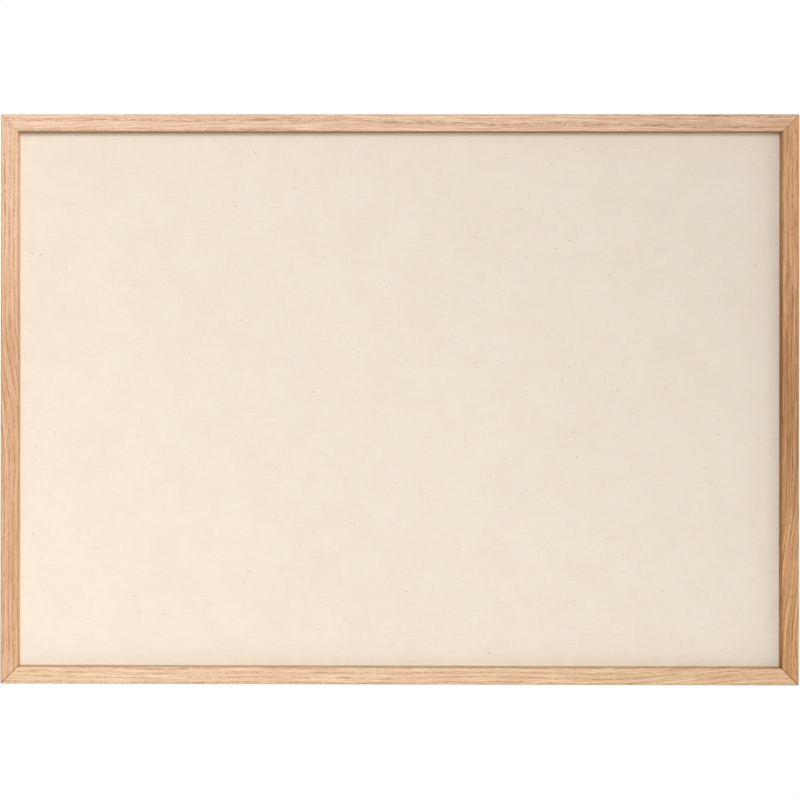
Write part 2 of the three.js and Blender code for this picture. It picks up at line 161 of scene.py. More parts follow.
class Surface(Wiring):
    """The shader nodes of one material, around a Principled shader."""

    def __init__(self, name: str) -> None:
        """Make an empty material.

        Args:
            name: Name of the material.
        """
        self.material = bpy.data.materials.new(name)
        self.material.use_nodes = True
        super().__init__(self.material.node_tree)
        self.shader = self.tree.nodes["Principled BSDF"]

    def millimetres(self, upright: bool = False) -> Socket:
        """Give the point on the piece in millimetres.

        Args:
            upright: Whether X and Z change places, so that a grain along X runs up the piece.

        Returns:
            The output that holds the point.
        """
        place = self.add("ShaderNodeTexCoord").outputs["Object"]
        if upright:
            x, y, z = self.parts(place)
            place = self.point(z, y, x)
        return self.out("ShaderNodeMapping", {"Vector": place, "Scale": (PER_MM, PER_MM, PER_MM)})

    def stretched(self, place: Socket, rates: Point) -> Socket:
        """Multiply a point by a rate for each axis."""
        return self.vector("MULTIPLY", place, rates)

    def noise(self, place: Socket, rates: Point, detail: float = 2.0, rough: float = 0.5) -> Socket:
        """Give smooth noise over a point.

        Args:
            place: The point, in millimetres.
            rates: How many waves there are to a millimetre along each axis.
            detail: How many finer octaves are added.
            rough: How strong the finer octaves are.

        Returns:
            Noise around one half.
        """
        waves = self.stretched(place, rates)
        inputs = {"Vector": waves, "Scale": 1.0, "Detail": detail, "Roughness": rough}
        return self.out("ShaderNodeTexNoise", inputs)

    def wavered(self, place: Socket, rate: float, reach: float) -> Socket:
        """Bend a point this way and that.

        Args:
            place: The point, in millimetres.
            rate: How many waves there are to a millimetre.
            reach: How many millimetres the point is moved at most.

        Returns:
            The bent point.
        """
        waves = {"Vector": self.stretched(place, (rate, rate, rate)), "Scale": 1.0}
        waver = self.add("ShaderNodeTexNoise", waves).outputs["Color"]
        return self.vector("MULTIPLY_ADD", waver, (reach, reach, reach), place)

    def span(self, value: Any, low: float, high: float, out: Pair = (0.0, 1.0)) -> Socket:
        """Map a range of a number to another range, eased at both ends."""
        inputs = {0: value, 1: low, 2: high, 3: out[0], 4: out[1]}
        return self.out("ShaderNodeMapRange", inputs, interpolation_type="SMOOTHSTEP")

    def spread(self, noise: Socket, out: Pair) -> Socket:
        """Map the usual range of noise to another range."""
        return self.span(noise, *NOISE_RANGE, out)

    def mixed(self, share: Any, first: Any, second: Any) -> Socket:
        """Mix two colours.

        Args:
            share: Share of the second colour.
            first: The first colour, or an output that holds it.
            second: The second colour, or an output that holds it.

        Returns:
            The mixture.
        """
        colours = [c if isinstance(c, Socket) else (*c, 1.0) for c in (first, second)]
        inputs = {0: share, 6: colours[0], 7: colours[1]}
        return self.add("ShaderNodeMix", inputs, data_type="RGBA").outputs[2]

    def bumped(self, height: Any, depth: float, strength: float) -> None:
        """Raise the surface by a height from 0 to 1, times a depth in metres."""
        inputs = {"Height": height, "Distance": depth, "Strength": strength}
        self.feed(self.shader.inputs["Normal"], self.out("ShaderNodeBump", inputs))

    def set(self, **values: Any) -> Material:
        """Fill sockets of the shader.

        Args:
            values: What goes into each socket, named in lower case with underscores.

        Returns:
            The material.
        """
        for name, value in values.items():
            title = name.replace("_", " ").title().replace("Ior", "IOR")
            self.feed(self.shader.inputs[title], value)
        return self.material


class Tree(Wiring):
    """A geometry node tree with named inputs and one geometry output."""

    def __init__(self, name: str, inputs: dict[str, str]) -> None:
        """Make the tree.

        Args:
            name: Name of the tree.
            inputs: Kind of socket for each named input, as in the last word of Blender's name for it.
        """
        super().__init__(bpy.data.node_groups.new(name, "GeometryNodeTree"))
        for title, kind in inputs.items():
            self.tree.interface.new_socket(name=title, in_out="INPUT", socket_type=f"NodeSocket{kind}")
        self.tree.interface.new_socket(name="Geometry", in_out="OUTPUT", socket_type="NodeSocketGeometry")
        self.given = self.add("NodeGroupInput").outputs

    def close(self, geometry: Socket, degrees: float = SMOOTH_ANGLE) -> None:
        """Realize, shade and dress the geometry, and end the tree with it.

        Args:
            geometry: What the tree has made.
            degrees: Edges that turn more than this stay sharp.
        """
        solid = self.out("GeometryNodeRealizeInstances", {0: geometry})
        smooth = self.out("GeometryNodeSetShadeSmooth", {0: solid, "Shade Smooth": True})
        turn = self.out("GeometryNodeInputMeshEdgeAngle")
        sharp = self.math("GREATER_THAN", turn, math.radians(degrees))
        inputs = {0: smooth, "Selection": sharp, "Shade Smooth": False}
        shaded = self.out("GeometryNodeSetShadeSmooth", inputs, domain="EDGE")
        dressed = self.out("GeometryNodeSetMaterial", {0: shaded, "Material": self.given["Material"]})
        self.add("NodeGroupOutput", {0: dressed})

    def grow(self, name: str, values: dict[str, Any], base: Mesh | None = None) -> Piece:
        """Run the tree and keep its result as a plain mesh.

        Args:
            name: Name of the new piece.
            values: Value for each named input.
            base: Mesh that goes in as the input geometry, if the tree has one.

        Returns:
            The piece, at the origin, with no modifier.
        """
        seed = new_object(f"{name}_seed", base or bpy.data.meshes.new(f"{name}_seed"))
        modifier = seed.modifiers.new("grow", "NODES")
        modifier.node_group = self.tree
        for item in self.tree.interface.items_tree:
            if item.in_out == "INPUT" and item.name in values:
                modifier[item.identifier] = values[item.name]
        piece = new_object(name, evaluated_mesh(seed))
        remove(seed)
        return piece


def new_object(name: str, data: Any) -> Piece:
    """Put something into the scene as an object.

    Args:
        name: Name of the object and of its data.
        data: A mesh, curve, lamp or camera.

    Returns:
        The object.
    """
    data.name = name
    thing = bpy.data.objects.new(name, data)
    bpy.context.scene.collection.objects.link(thing)
    return thing


def remove(*things: Piece) -> None:
    """Take helper objects out of the scene again."""
    for thing in things:
        bpy.data.objects.remove(thing)


def evaluated_mesh(thing: Piece) -> Mesh:
    """Return a plain mesh of an object with its modifiers applied."""
    bpy.context.view_layer.update()
    return bpy.data.meshes.new_from_object(thing.evaluated_get(bpy.context.evaluated_depsgraph_get()))


def mesh_of(made: bmesh.types.BMesh) -> Mesh:
    """Turn a bmesh into a mesh with its faces pointing outwards.

    Args:
        made: The bmesh, which is used up.

    Returns:
        The mesh, which takes the name of its object later.
    """
    bmesh.ops.recalc_face_normals(made, faces=made.faces)
    mesh = bpy.data.meshes.new("shape")
    made.to_mesh(mesh)
    made.free()
    return mesh


def smooth_by_angle(thing: Piece) -> None:
    """Shade a piece smooth, apart from its edges."""
    thing.data.shade_smooth()
    thing.data.set_sharp_from_angle(angle=math.radians(SMOOTH_ANGLE))


def sharp_edges(made: bmesh.types.BMesh, degrees: float) -> list[bmesh.types.BMEdge]:
    """List the edges that turn more than an angle."""
    return [edge for edge in made.edges if edge.calc_face_angle(0.0) > math.radians(degrees)]


def middle_of(node: str) -> Vector:
    """Return the middle of a solid's box."""
    low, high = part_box(node)
    return (low + high) / 2


def dress(thing: Piece, material: Material) -> None:
    """Make a material the only one on a piece."""
    thing.data.materials.clear()
    thing.data.materials.append(material)


def enrol(piece: Piece, slot: str, *nodes: str, body: str = FRAME_BODY) -> Piece:
    """Make a finished piece part of the board.

    Args:
        piece: The piece.
        slot: Not used.
        nodes: Solids that it stands for, if any.
        body: Body that it moves with.

    Returns:
        The piece.
    """
    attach(piece, body)
    if nodes:
        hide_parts(*nodes)
    return piece


def softened_copy(node: str, name: str, ease: float, segments: int = 3) -> Piece:
    """Copy a solid of the frame with its sharp edges rounded.

    Args:
        node: Node of the solid.
        name: Name of the copy.
        ease: Width that is taken off along each sharp edge.
        segments: Steps round each edge.

    Returns:
        The copy.
    """
    made = bmesh.new()
    made.from_mesh(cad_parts[node].data)
    bmesh.ops.remove_doubles(made, verts=made.verts, dist=SAME_PLACE)
    flat = math.radians(FLAT_ANGLE)
    bmesh.ops.dissolve_limit(made, angle_limit=flat, verts=made.verts, edges=made.edges)
    bmesh.ops.bevel(
        made, geom=sharp_edges(made, EDGE_ANGLE), offset=ease, segments=segments, profile=0.5,
        affect="EDGES", clamp_overlap=True,
    )
    piece = new_object(name, mesh_of(made))
    smooth_by_angle(piece)
    return piece


def turned(profile: Iterable[Pair], steps: int) -> Mesh:
    """Spin a profile round the Y axis.

    Args:
        profile: Radius and height along Y of each point, from the axis to the axis.
        steps: Steps round the axis.

    Returns:
        The closed mesh.
    """
    made = bmesh.new()
    points = [made.verts.new((radius, height, 0.0)) for radius, height in profile]
    edges = [made.edges.new(pair) for pair in zip(points, points[1:])]
    bmesh.ops.spin(
        made, geom=points + edges, axis=(0.0, 1.0, 0.0), angle=math.tau, steps=steps, use_merge=True
    )
    bmesh.ops.remove_doubles(made, verts=made.verts, dist=SAME_PLACE)
    return mesh_of(made)


def rounding(centre: Pair, radius: float, start: float, end: float, steps: int) -> list[Pair]:
    """List the points of an arc, with angles in degrees from the first axis towards the second."""
    angles = [math.radians(start + (end - start) * step / steps) for step in range(steps + 1)]
    return [(centre[0] + radius * math.cos(a), centre[1] + radius * math.sin(a)) for a in angles]


# Finishes


class Grain(Enum):
    """Which way the grain of a rail runs."""

    ALONG = "along"
    UPRIGHT = "upright"


@dataclass(frozen=True)
class Stretch:
    """A stretch of a rail, along it or across it, where the wood differs or where painted shade lies."""

    middle: float  # millimetres
    reach: float  # millimetres to either side
    amount: float

    def at(self, s: Surface, place: Socket) -> Socket:
        """Give the amount at the middle, fading to nothing at the reach."""
        off = s.math("ABSOLUTE", s.math("SUBTRACT", place, self.middle))
        return s.span(off, self.reach, 0.0, (0.0, self.amount))


@dataclass(frozen=True)
class Marks:
    """Marks that are drawn where a stretched noise passes from one level to another."""

    rates: Point  # waves to a millimetre along each axis
    low: float  # level of the noise where a mark begins
    high: float  # level where it is at its strongest
    out: Pair = (0.0, 1.0)  # strength outside a mark and inside it
    detail: float = 2.0
    rough: float = 0.5

    def drawn(self, s: Surface, place: Socket) -> Socket:
        """Draw the marks over a point in millimetres."""
        return s.span(s.noise(place, self.rates, self.detail, self.rough), self.low, self.high, self.out)


@dataclass(frozen=True)
class OakFinish:
    """Pale oiled oak, with growth rings, long fibres and open pores along the grain."""

    name: str
    grain: Grain
    pale: Colour
    deep: Colour
    pore_and_shade: Colour
    seed: float  # millimetres along the grain, so that no two rails share one pattern
    slant: Stretch  # millimetres that the lines shift across the rail there, to either side
    tones: tuple[Stretch, ...]  # how much deeper the wood is there, below zero for paler
    edges: tuple[Stretch, ...]  # painted shade on the inner walls of the recess and the outer rounded edges: how dark, with places across the rail
    blush: Colour = linear(236, 184, 152)
    straw: Colour = linear(222, 186, 138)
    pore_share: float = 0.70
    early_share: Pair = (0.35, 1.0)  # share of the pores that late and early wood have
    base_shade: float = 0.05  # how pale the wood is everywhere, and what each pattern adds
    line_shade: float = 0.50
    late_shade: float = 0.15
    stroke_shade: float = 0.14
    band_shade: float = 0.15
    ring_width: float = 4.2  # millimetres
    ring_rise: Pair = (0.02, 0.5)  # shares of a ring where late wood sets in and where it ends
    ring_fall: Pair = (1.0, 0.9)
    heart: Pair = (70.0, -40.0)  # middle of the tree, in depth and across, in millimetres
    wander: float = 9.0  # millimetres that the fibres stray across the rail
    stray_rates: Point = (0.006, 0.03, 0.03)  # waves to a millimetre along each axis
    fibre_rates: Point = (0.06, 4.0, 4.0)
    relief: float = 0.10  # millimetres
    fibre_height: float = 0.35  # shares of the relief
    pore_height: float = -0.8
    rough: float = 0.48
    pore_rough: float = 0.25  # what the pores add
    hairs: Marks = Marks((0.060, 1.9, 1.9), 0.55, 0.62)
    dashes: Marks = Marks((0.26, 1.7, 1.7), 0.54, 0.62, (0.0, 0.9))
    dots: Marks = Marks((0.45, 2.6, 2.6), 0.56, 0.64, (0.0, 0.85), detail=1.0)
    streaks: Marks = Marks((0.11, 7.0, 7.0), 0.36, 0.60, (0.30, 1.30))
    lines: Marks = Marks((0.026, 1.4, 1.4), 0.41, 0.59, detail=3.0, rough=0.60)
    strokes: Marks = Marks((0.010, 0.60, 0.60), 0.38, 0.62, detail=3.0, rough=0.60)
    bands: Marks = Marks((0.003, 0.14, 0.14), 0.34, 0.66)
    blushes: Marks = Marks((0.003, 0.08, 0.08), 0.50, 0.66, (0.0, 0.4), 3.0, 0.6)
    straws: Marks = Marks((0.003, 0.08, 0.08), 0.50, 0.34, (0.0, 0.4), 3.0, 0.6)

    def grain_place(self, s: Surface, place: Socket, along: Socket) -> Socket:
        """Bend the point so that lines drawn along X follow the fibres of the wood.

        Args:
            s: Nodes of the material.
            place: The point, in millimetres, with X along the rail.
            along: The point's place along the rail.

        Returns:
            The bent point.
        """
        own = s.vector("ADD", place, (self.seed, 0.0, 0.0))
        start, end = self.slant.middle - self.slant.reach, self.slant.middle + self.slant.reach
        bend = s.span(along, start, end, (-self.slant.amount, self.slant.amount))
        astray = s.math("MULTIPLY_ADD", s.noise(own, self.stray_rates), self.wander, bend)
        return s.vector("ADD", own, s.point(z=astray))

    def late_wood(self, s: Surface, grain: Socket) -> Socket:
        """Give the growth rings.

        Args:
            s: Nodes of the material.
            grain: The point, with X along the fibres.

        Returns:
            Zero in open early wood, rising to one in dense late wood.
        """
        inputs = {0: s.stretched(grain, (0.0, 1.0, 1.0)), 1: (0.0, *self.heart)}
        radius = s.add("ShaderNodeVectorMath", inputs, operation="DISTANCE").outputs["Value"]
        ring = s.math("FRACT", s.math("DIVIDE", radius, self.ring_width))
        return s.math("MULTIPLY", s.span(ring, *self.ring_rise), s.span(ring, *self.ring_fall))

    def pores(self, s: Surface, grain: Socket, late: Socket) -> Socket:
        """Draw the open pores in fine streaks: hairlines, with dashes and dots between.

        Args:
            s: Nodes of the material.
            grain: The point, with X along the fibres.
            late: The growth rings. Most of the pores lie in early wood.

        Returns:
            How open the wood is, from zero up.
        """
        every = s.largest(*(marks.drawn(s, grain) for marks in (self.hairs, self.dashes, self.dots)))
        early = s.span(late, 1.0, 0.0, self.early_share)
        return s.math("MULTIPLY", s.math("MULTIPLY", every, self.streaks.drawn(s, grain)), early)

    def material(self) -> Material:
        """Build the material.

        Returns:
            The oak of one rail.
        """
        s = Surface(self.name)
        place = s.millimetres(self.grain is Grain.UPRIGHT)
        along, _, across = s.parts(place)
        grain = self.grain_place(s, place, along)
        late = self.late_wood(s, grain)
        pores = self.pores(s, grain, late)
        layers = (
            (self.lines.drawn(s, grain), self.line_shade),
            (late, self.late_shade),
            (self.strokes.drawn(s, grain), self.stroke_shade),
            (self.bands.drawn(s, grain), self.band_shade),
        )
        shade: Any = self.base_shade
        for layer, amount in layers:
            shade = s.math("MULTIPLY_ADD", layer, amount, shade)
        for tone in self.tones:
            shade = s.math("SUBTRACT", shade, tone.at(s, along))

        colour = s.mixed(shade, self.deep, self.pale)
        for marks, tint in ((self.blushes, self.blush), (self.straws, self.straw)):
            colour = s.mixed(marks.drawn(s, grain), colour, tint)
        colour = s.mixed(s.math("MULTIPLY", pores, self.pore_share), colour, self.pore_and_shade)
        # Painted shade: the inner walls of the recess and the outer rounded edges are darkened towards the
        # pore colour
        for edge in self.edges:
            colour = s.mixed(edge.at(s, across), colour, self.pore_and_shade)

        fibre = s.noise(grain, self.fibre_rates)
        sunk = s.math("MULTIPLY", pores, self.pore_height)
        height = s.math("MULTIPLY_ADD", fibre, self.fibre_height, sunk)
        s.bumped(height, self.relief * MM, strength=0.5)
        rough = s.math("MULTIPLY_ADD", pores, self.pore_rough, self.rough)
        return s.set(base_color=colour, roughness=rough, specular_ior_level=0.35)


@dataclass(frozen=True)
class CanvasFinish:
    """Unbleached cotton canvas in plain weave, with slubs in both directions."""

    name: str
    base: Colour
    bright: Colour
    dull: Colour
    pitch: float = 0.62  # millimetres from yarn to yarn
    crossing: Pair = (-0.25, 0.25)  # product of the two waves while one yarn dips below the other
    gap_level: float = 0.45  # height of the weave below which the gaps show
    slub_share: float = 0.55
    thin_share: float = 0.45
    gap_share: float = 0.35
    slub_height: float = 0.6  # share of a yarn's height
    relief: float = 0.10  # millimetres
    clouds: Marks = Marks((0.035, 0.035, 0.035), *NOISE_RANGE, (0.0, 0.12), 3.0, 0.6)
    grit: Marks = Marks((0.7, 0.7, 0.7), *NOISE_RANGE, (0.0, 0.16))
    slubs: tuple[Marks, ...] = (Marks((0.05, 0.0, 1.1), 0.60, 0.74), Marks((1.1, 0.0, 0.06), 0.62, 0.76))
    thins: tuple[Marks, ...] = (Marks((0.05, 0.0, 1.1), 0.40, 0.27), Marks((1.1, 0.0, 0.06), 0.38, 0.25))

    def material(self) -> Material:
        """Build the material.

        Returns:
            The cloth.
        """
        s = Surface(self.name)
        place = s.millimetres()
        x, _, z = s.parts(s.wavered(place, rate=0.08, reach=0.9))
        rate = math.pi / self.pitch
        warp = s.math("SINE", s.math("MULTIPLY", x, rate))
        weft = s.math("SINE", s.math("MULTIPLY", z, rate))
        over = s.span(s.math("MULTIPLY", warp, weft), *self.crossing)
        inputs = {0: over, 2: s.math("ABSOLUTE", warp), 3: s.math("ABSOLUTE", weft)}
        weave = s.out("ShaderNodeMix", inputs, data_type="FLOAT")

        slub, thin = (s.largest(*(m.drawn(s, place) for m in marks)) for marks in (self.slubs, self.thins))
        cloud, grit = (marks.drawn(s, place) for marks in (self.clouds, self.grit))

        colour = s.mixed(s.math("ADD", cloud, grit), self.base, self.dull)
        colour = s.mixed(s.math("MULTIPLY", slub, self.slub_share), colour, self.bright)
        colour = s.mixed(s.math("MULTIPLY", thin, self.thin_share), colour, self.dull)
        colour = s.mixed(s.span(weave, self.gap_level, 0.0, (0.0, self.gap_share)), colour, self.dull)
        s.bumped(s.math("MULTIPLY_ADD", slub, self.slub_height, weave), self.relief * MM, strength=0.7)
        return s.set(base_color=colour, roughness=0.95, specular_ior_level=0.15, diffuse_roughness=0.6)


@dataclass(frozen=True)
class PlainFinish:
    """A surface of one colour that is broken up by fine specks, or cast in two tones."""

    name: str
    first: Colour
    second: Colour
    coarse: float  # waves to a millimetre of the larger pattern
    fine: float  # waves to a millimetre of the finer pattern
    rough: Pair
    metallic: float = 0.0
    relief: float = 0.05  # millimetres
    cloud_share: float = 0.6
    speck_share: float = 0.4
    detail: float = 3.0
    grit: float = 0.6  # strength of the finest specks
    rough_levels: Pair = (0.25, 0.75)  # levels of the specks that the roughness runs between

    def material(self) -> Material:
        """Build the material.

        Returns:
            The surface.
        """
        s = Surface(self.name)
        place = s.millimetres()
        rates = ((rate, rate, rate) for rate in (self.coarse, self.fine))
        cloud, speck = (s.noise(place, each, self.detail, self.grit) for each in rates)
        clouded = s.spread(cloud, (0.0, self.cloud_share))
        share = s.math("ADD", clouded, s.spread(speck, (0.0, self.speck_share)))
        s.bumped(speck, self.relief * MM, strength=0.5)
        return s.set(
            base_color=s.mixed(share, self.first, self.second),
            roughness=s.span(speck, *self.rough_levels, self.rough),
            metallic=self.metallic,
        )


@dataclass(frozen=True)
class FibreFinish:
    """Pressed wood fibre, felted from short fibres that lie every way."""

    name: str
    base: Colour
    dark: Colour
    light: Colour
    dark_turns: tuple[float, ...] = (0.4, 1.2, 2.1, 2.8)  # radians in the plane of the board
    light_turns: tuple[float, ...] = (0.1, 0.8, 1.7, 2.5)
    turn_shift: float = 90.0  # millimetres that the fibres move for each radian, so that none repeat
    fibre: Marks = Marks((0.30, 1.0, 2.4), 0.56, 0.72)
    clouds: Marks = Marks((0.012, 0.012, 0.012), *NOISE_RANGE, (0.0, 0.25))
    felt_rates: Point = (1.3, 1.3, 1.3)  # waves to a millimetre along each axis
    felt_detail: float = 4.0
    felt_grit: float = 0.7
    felt_share: float = 0.6
    dark_share: float = 0.45
    light_share: float = 0.34
    fibre_height: float = 0.4  # share of the felt's height
    relief: float = 0.06  # millimetres
    rough: Pair = (0.55, 0.75)

    def fibres(self, s: Surface, place: Socket, turns: tuple[float, ...]) -> Socket:
        """Draw short fibres at some angles.

        Args:
            s: Nodes of the material.
            place: The point, in millimetres.
            turns: The angles in the plane of the board.

        Returns:
            One on a fibre, and zero beside it.
        """
        lying = []
        for turn in turns:
            shift = (self.turn_shift * turn, 0.0, 0.0)
            own = {"Vector": place, "Rotation": (0.0, turn, 0.0), "Location": shift}
            lying.append(self.fibre.drawn(s, s.out("ShaderNodeMapping", own)))
        return s.largest(*lying)

    def material(self) -> Material:
        """Build the material.

        Returns:
            The surface of the board.
        """
        s = Surface(self.name)
        place = s.millimetres()
        bent = s.wavered(place, rate=0.2, reach=7.0)
        felt = s.noise(place, self.felt_rates, self.felt_detail, self.felt_grit)
        darker = self.fibres(s, bent, self.dark_turns)
        lighter = self.fibres(s, bent, self.light_turns)
        colour = s.mixed(s.spread(felt, (0.0, self.felt_share)), self.base, self.dark)
        colour = s.mixed(self.clouds.drawn(s, place), colour, self.dark)
        colour = s.mixed(s.math("MULTIPLY", darker, self.dark_share), colour, self.dark)
        colour = s.mixed(s.math("MULTIPLY", lighter, self.light_share), colour, self.light)
        height = s.math("MULTIPLY_ADD", lighter, self.fibre_height, felt)
        s.bumped(height, self.relief * MM, strength=0.5)
        return s.set(base_color=colour, roughness=s.spread(felt, self.rough), specular_ior_level=0.3)


# The edges of each rail hold painted shade: darkened inner walls of the recess and darkened outer rounded
# edges
OAKS = {
    "top_rail": OakFinish(
        "oak_top",
        Grain.ALONG,
        pale=linear(251, 219, 187),
        deep=linear(200, 156, 118),
        pore_and_shade=linear(156, 110, 74),
        seed=410.0,
        slant=Stretch(60.0, 200.0, 3.0),
        tones=(Stretch(330.0, 250.0, 0.15), Stretch(-330.0, 200.0, -0.15)),
        edges=(Stretch(-7.6, 0.3, 0.8), Stretch(6.6, 0.8, 0.18)),
    ),
    "bottom_rail": OakFinish(
        "oak_bottom",
        Grain.ALONG,
        pale=linear(252, 224, 190),
        deep=linear(210, 168, 126),
        pore_and_shade=linear(168, 122, 80),
        seed=1730.0,
        slant=Stretch(260.0, 80.0, -7.0),
        tones=(Stretch(330.0, 220.0, 0.25),),
        edges=(Stretch(-477.6, 0.35, 0.35), Stretch(-491.8, 0.8, 0.28)),
    ),
    "left_stile": OakFinish(
        "oak_left",
        Grain.UPRIGHT,
        pale=linear(240, 200, 168),
        deep=linear(198, 146, 101),
        pore_and_shade=linear(158, 106, 62),
        seed=2950.0,
        slant=Stretch(-225.0, 60.0, 6.0),
        tones=(Stretch(-210.0, 90.0, 0.25), Stretch(-20.0, 170.0, -0.55), Stretch(-370.0, 170.0, 0.22)),
        edges=(Stretch(-349.2, 0.8, 0.25),),
        blush=linear(230, 186, 148),
    ),
    "right_stile": OakFinish(
        "oak_right",
        Grain.UPRIGHT,
        pale=linear(241, 187, 138),
        deep=linear(166, 113, 68),
        pore_and_shade=linear(128, 81, 41),
        seed=5230.0,
        slant=Stretch(-377.0, 85.0, -9.0),
        tones=(Stretch(-240.0, 150.0, 0.42), Stretch(-20.0, 120.0, -0.15)),
        edges=(Stretch(335.0, 1.4, 0.35), Stretch(349.2, 0.8, 0.25)),
        blush=linear(204, 144, 100),
        straw=linear(190, 144, 86),
    ),
}
CANVAS = CanvasFinish("canvas", linear(245, 235, 220), linear(250, 244, 235), linear(228, 214, 196))
FLECK = PlainFinish("seed_fleck", linear(150, 122, 92), linear(116, 90, 64), 0.3, 4.0, (0.8, 0.95))
SLUB = PlainFinish("slub_yarn", linear(247, 237, 222), linear(236, 222, 203), 0.3, 5.0, (0.9, 0.98))
HARDBOARD = FibreFinish("hardboard", linear(148, 104, 70), linear(112, 76, 48), linear(184, 142, 100))
GLUE = PlainFinish("joint_glue", linear(138, 88, 48), linear(108, 66, 34), 0.2, 2.0, (0.6, 0.8))
SOFTBOARD = PlainFinish(
    "softboard", linear(190, 164, 128), linear(160, 134, 100), 0.2, 2.0, (0.9, 1.0), relief=0.3
)
ZINC = PlainFinish(
    "zinc", linear(200, 203, 206), linear(172, 176, 182), 0.25, 3.0, (0.28, 0.42), metallic=1.0, relief=0.01
)
RUBBER = PlainFinish("rubber", linear(62, 62, 63), linear(46, 46, 48), 0.3, 4.0, (0.75, 0.9))


# Oak frame


@dataclass
class OakFrame:
    """Four mitred oak rails whose lips lap over the panel."""

    face_width: float = 15 * MM
    wall_width: float = 10 * MM
    lip_depth: float = 8 * MM
    front_ease: float = 1.2 * MM
    sight_ease: float = 0.4 * MM
    rear_ease: float = 0.6 * MM
    corner_ease: float = 1.5 * MM
    ease_steps: int = 6
    top_joint: float = 0.15 * MM  # twice what a rail adds to the width of the glue line at each end
    bottom_joint: float = 0.9 * MM
    left_joint: float = 0.2 * MM
    right_joint: float = 0.5 * MM
    glue_width: float = 0.9 * MM
    glue_setback: float = 0.25 * MM
    glue_tip: float = 0.06 * MM
    glue_steps: int = 4
    ring_step: float = 4 * MM
    slot_gap: float = 0.12 * MM
    closest: float = 0.06 * MM  # points nearer than this are joined after the slots are cut

    def __post_init__(self) -> None:
        """Read the outer sizes from the solids."""
        self.low = Vector(map(min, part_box("left_stile")[0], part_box("bottom_rail")[0]))
        self.high = Vector(map(max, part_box("right_stile")[1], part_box("top_rail")[1]))
        self.middle = (self.low.z + self.high.z) / 2
        self.rear = self.high.y
        self.depth = self.high.y - self.low.y
        self.shoulder = self.depth - self.lip_depth

    def profile(self) -> Piece:
        """Draw the section of a rail, across from its outer edge and forwards from its rear face.

        Returns:
            A closed curve whose points carry the ease of their corner as radius.
        """
        corners = [
            (0.0, 0.0, self.rear_ease),
            (self.wall_width, 0.0, self.rear_ease),
            (self.wall_width, self.shoulder, 0.0),
            (self.face_width, self.shoulder, 0.0),
            (self.face_width, self.depth, self.sight_ease),
            (0.0, self.depth, self.front_ease),
        ]
        curve = bpy.data.curves.new("rail_profile", "CURVE")
        spline = curve.splines.new("POLY")
        spline.points.add(len(corners) - 1)
        for point, (across, forward, ease) in zip(spline.points, corners):
            point.co = (across, forward, 0.0, 1.0)
            point.radius = ease
        spline.use_cyclic_u = True
        return new_object("rail_profile", curve)

    def tree(self) -> Tree:
        """Build the tree that sweeps the profile along a rail, mitres its ends and cuts its slots.

        Returns:
            The tree, with inputs for the sizes of one side of the frame.
        """
        numbers = (
            "Length", "Reach", "Rear", "Middle", "Turn", "Mitre Gap", "Corner Ease", "Ring Step", "Closest",
        )
        inputs = {"Profile": "Object", "Slots": "Object", "Material": "Material", "Ease Steps": "Int"}
        t = Tree("mitred_rail", inputs | {name: "Float" for name in numbers})
        given = t.given
        section, slots = (
            t.add("GeometryNodeObjectInfo", {"Object": given[name]}).outputs["Geometry"]
            for name in ("Profile", "Slots")
        )
        eases = {0: section, "Count": given["Ease Steps"], "Radius": t.out("GeometryNodeInputRadius")}
        eased = t.out("GeometryNodeFilletCurve", eases, mode="POLY")
        line = t.out("GeometryNodeCurvePrimitiveLine", {"End": t.point(z=given["Length"])})
        rings = t.out("GeometryNodeResampleCurve", {0: line, "Length": given["Ring Step"]}, mode="LENGTH")
        bar = t.out("GeometryNodeCurveToMesh", {0: rings, 1: eased, "Fill Caps": True})

        # Rings lie closer near the mitres, and a point is set back by its distance from the outer edge
        across, forward, height = t.parts(t.out("GeometryNodeInputPosition"))
        half = t.math("DIVIDE", given["Length"], 2.0)
        setback = t.math("ADD", across, t.math("MULTIPLY", given["Mitre Gap"], math.sqrt(0.5)))
        share = t.math("DIVIDE", t.math("SUBTRACT", half, height), half)
        from_end = t.math("SUBTRACT", 1.0, t.math("ABSOLUTE", share))
        crowded = t.math("SUBTRACT", 1.0, t.math("POWER", from_end, 2.0))
        run = t.math("MULTIPLY", crowded, t.math("SIGN", share))
        along = t.math("MULTIPLY", run, t.math("SUBTRACT", half, setback))

        # Points beyond the rounded outer corner are pulled back onto its arc
        to_end = t.math("SUBTRACT", half, t.math("ABSOLUTE", along))
        corner = given["Corner Ease"]
        out_x = t.math("MAXIMUM", t.math("SUBTRACT", corner, to_end), 0.0)
        out_z = t.math("MAXIMUM", t.math("SUBTRACT", corner, across), 0.0)
        reach = t.math("SQRT", t.math("ADD", t.math("POWER", out_x, 2.0), t.math("POWER", out_z, 2.0)))
        pull = t.math("MAXIMUM", t.math("SUBTRACT", 1.0, t.math("DIVIDE", corner, reach)), 0.0)
        inward = t.math("MULTIPLY", t.math("MULTIPLY", out_x, pull), t.math("SIGN", along))
        rounded = t.point(
            t.math("SUBTRACT", along, inward),
            t.math("SUBTRACT", given["Rear"], forward),
            t.math("SUBTRACT", given["Reach"], t.math("MULTIPLY_ADD", out_z, pull, across)),
        )
        rail = t.out("GeometryNodeSetPosition", {0: bar, "Position": rounded})
        spin = t.out("FunctionNodeEulerToRotation", {0: t.point(y=given["Turn"])})
        turn = {0: rail, "Translation": t.point(z=given["Middle"]), "Rotation": spin}
        cutting = {0: t.out("GeometryNodeTransform", turn), 1: slots}
        cut = t.out("GeometryNodeMeshBoolean", cutting, operation="DIFFERENCE", solver="MANIFOLD")
        t.close(t.out("GeometryNodeMergeByDistance", {0: cut, "Distance": given["Closest"]}))
        return t

